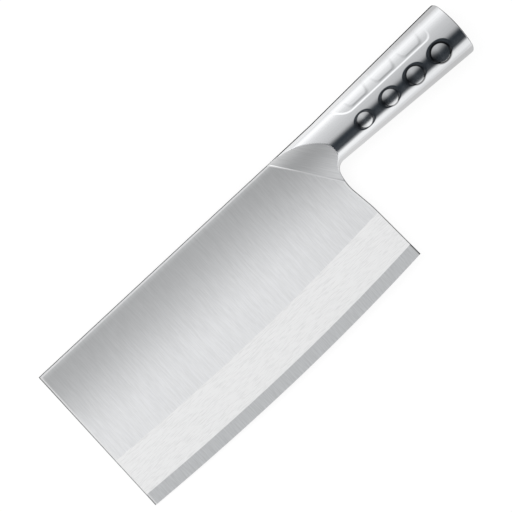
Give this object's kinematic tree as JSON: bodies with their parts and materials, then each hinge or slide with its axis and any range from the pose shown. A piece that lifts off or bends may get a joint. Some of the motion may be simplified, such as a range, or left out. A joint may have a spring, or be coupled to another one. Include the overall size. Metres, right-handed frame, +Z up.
{
  "type": "chinese cleaver",
  "caption": "Broad rectangular kitchen cleaver: brushed steel blade with a ground band and curved edge, welded to a hollow polished steel handle with grip domes and a sunk thumb panel.",
  "frame": {"origin": "under the middle of the knife's bounding box, on the surface that it lies on, with the knife on its side", "axes": "+X along the spine from the tip to the butt of the handle, +Y from the cutting edge to the spine, +Z up through the blade's thickness, out of the pictured face"},
  "size_m": [0.33, 0.11, 0.025],
  "materials": {
    "blade_steel": "brushed square to the spine, with a finer ground band and bevel along the edge",
    "neck_steel": "polished, with finely ground sloping faces",
    "handle_steel": "mirror polished"
  },
  "bodies": {
    "root": {"blade": "blade_steel", "bolster": "neck_steel", "blade_weld_front": "neck_steel", "blade_weld_back": "neck_steel", "neck_weld": "handle_steel", "handle_shell_front": "handle_steel", "handle_shell_back": "handle_steel", "seam_weld_spine": "handle_steel", "seam_weld_belly": "handle_steel", "cap_weld": "handle_steel", "butt_cap": "handle_steel"}
  },
  "joints": []
}
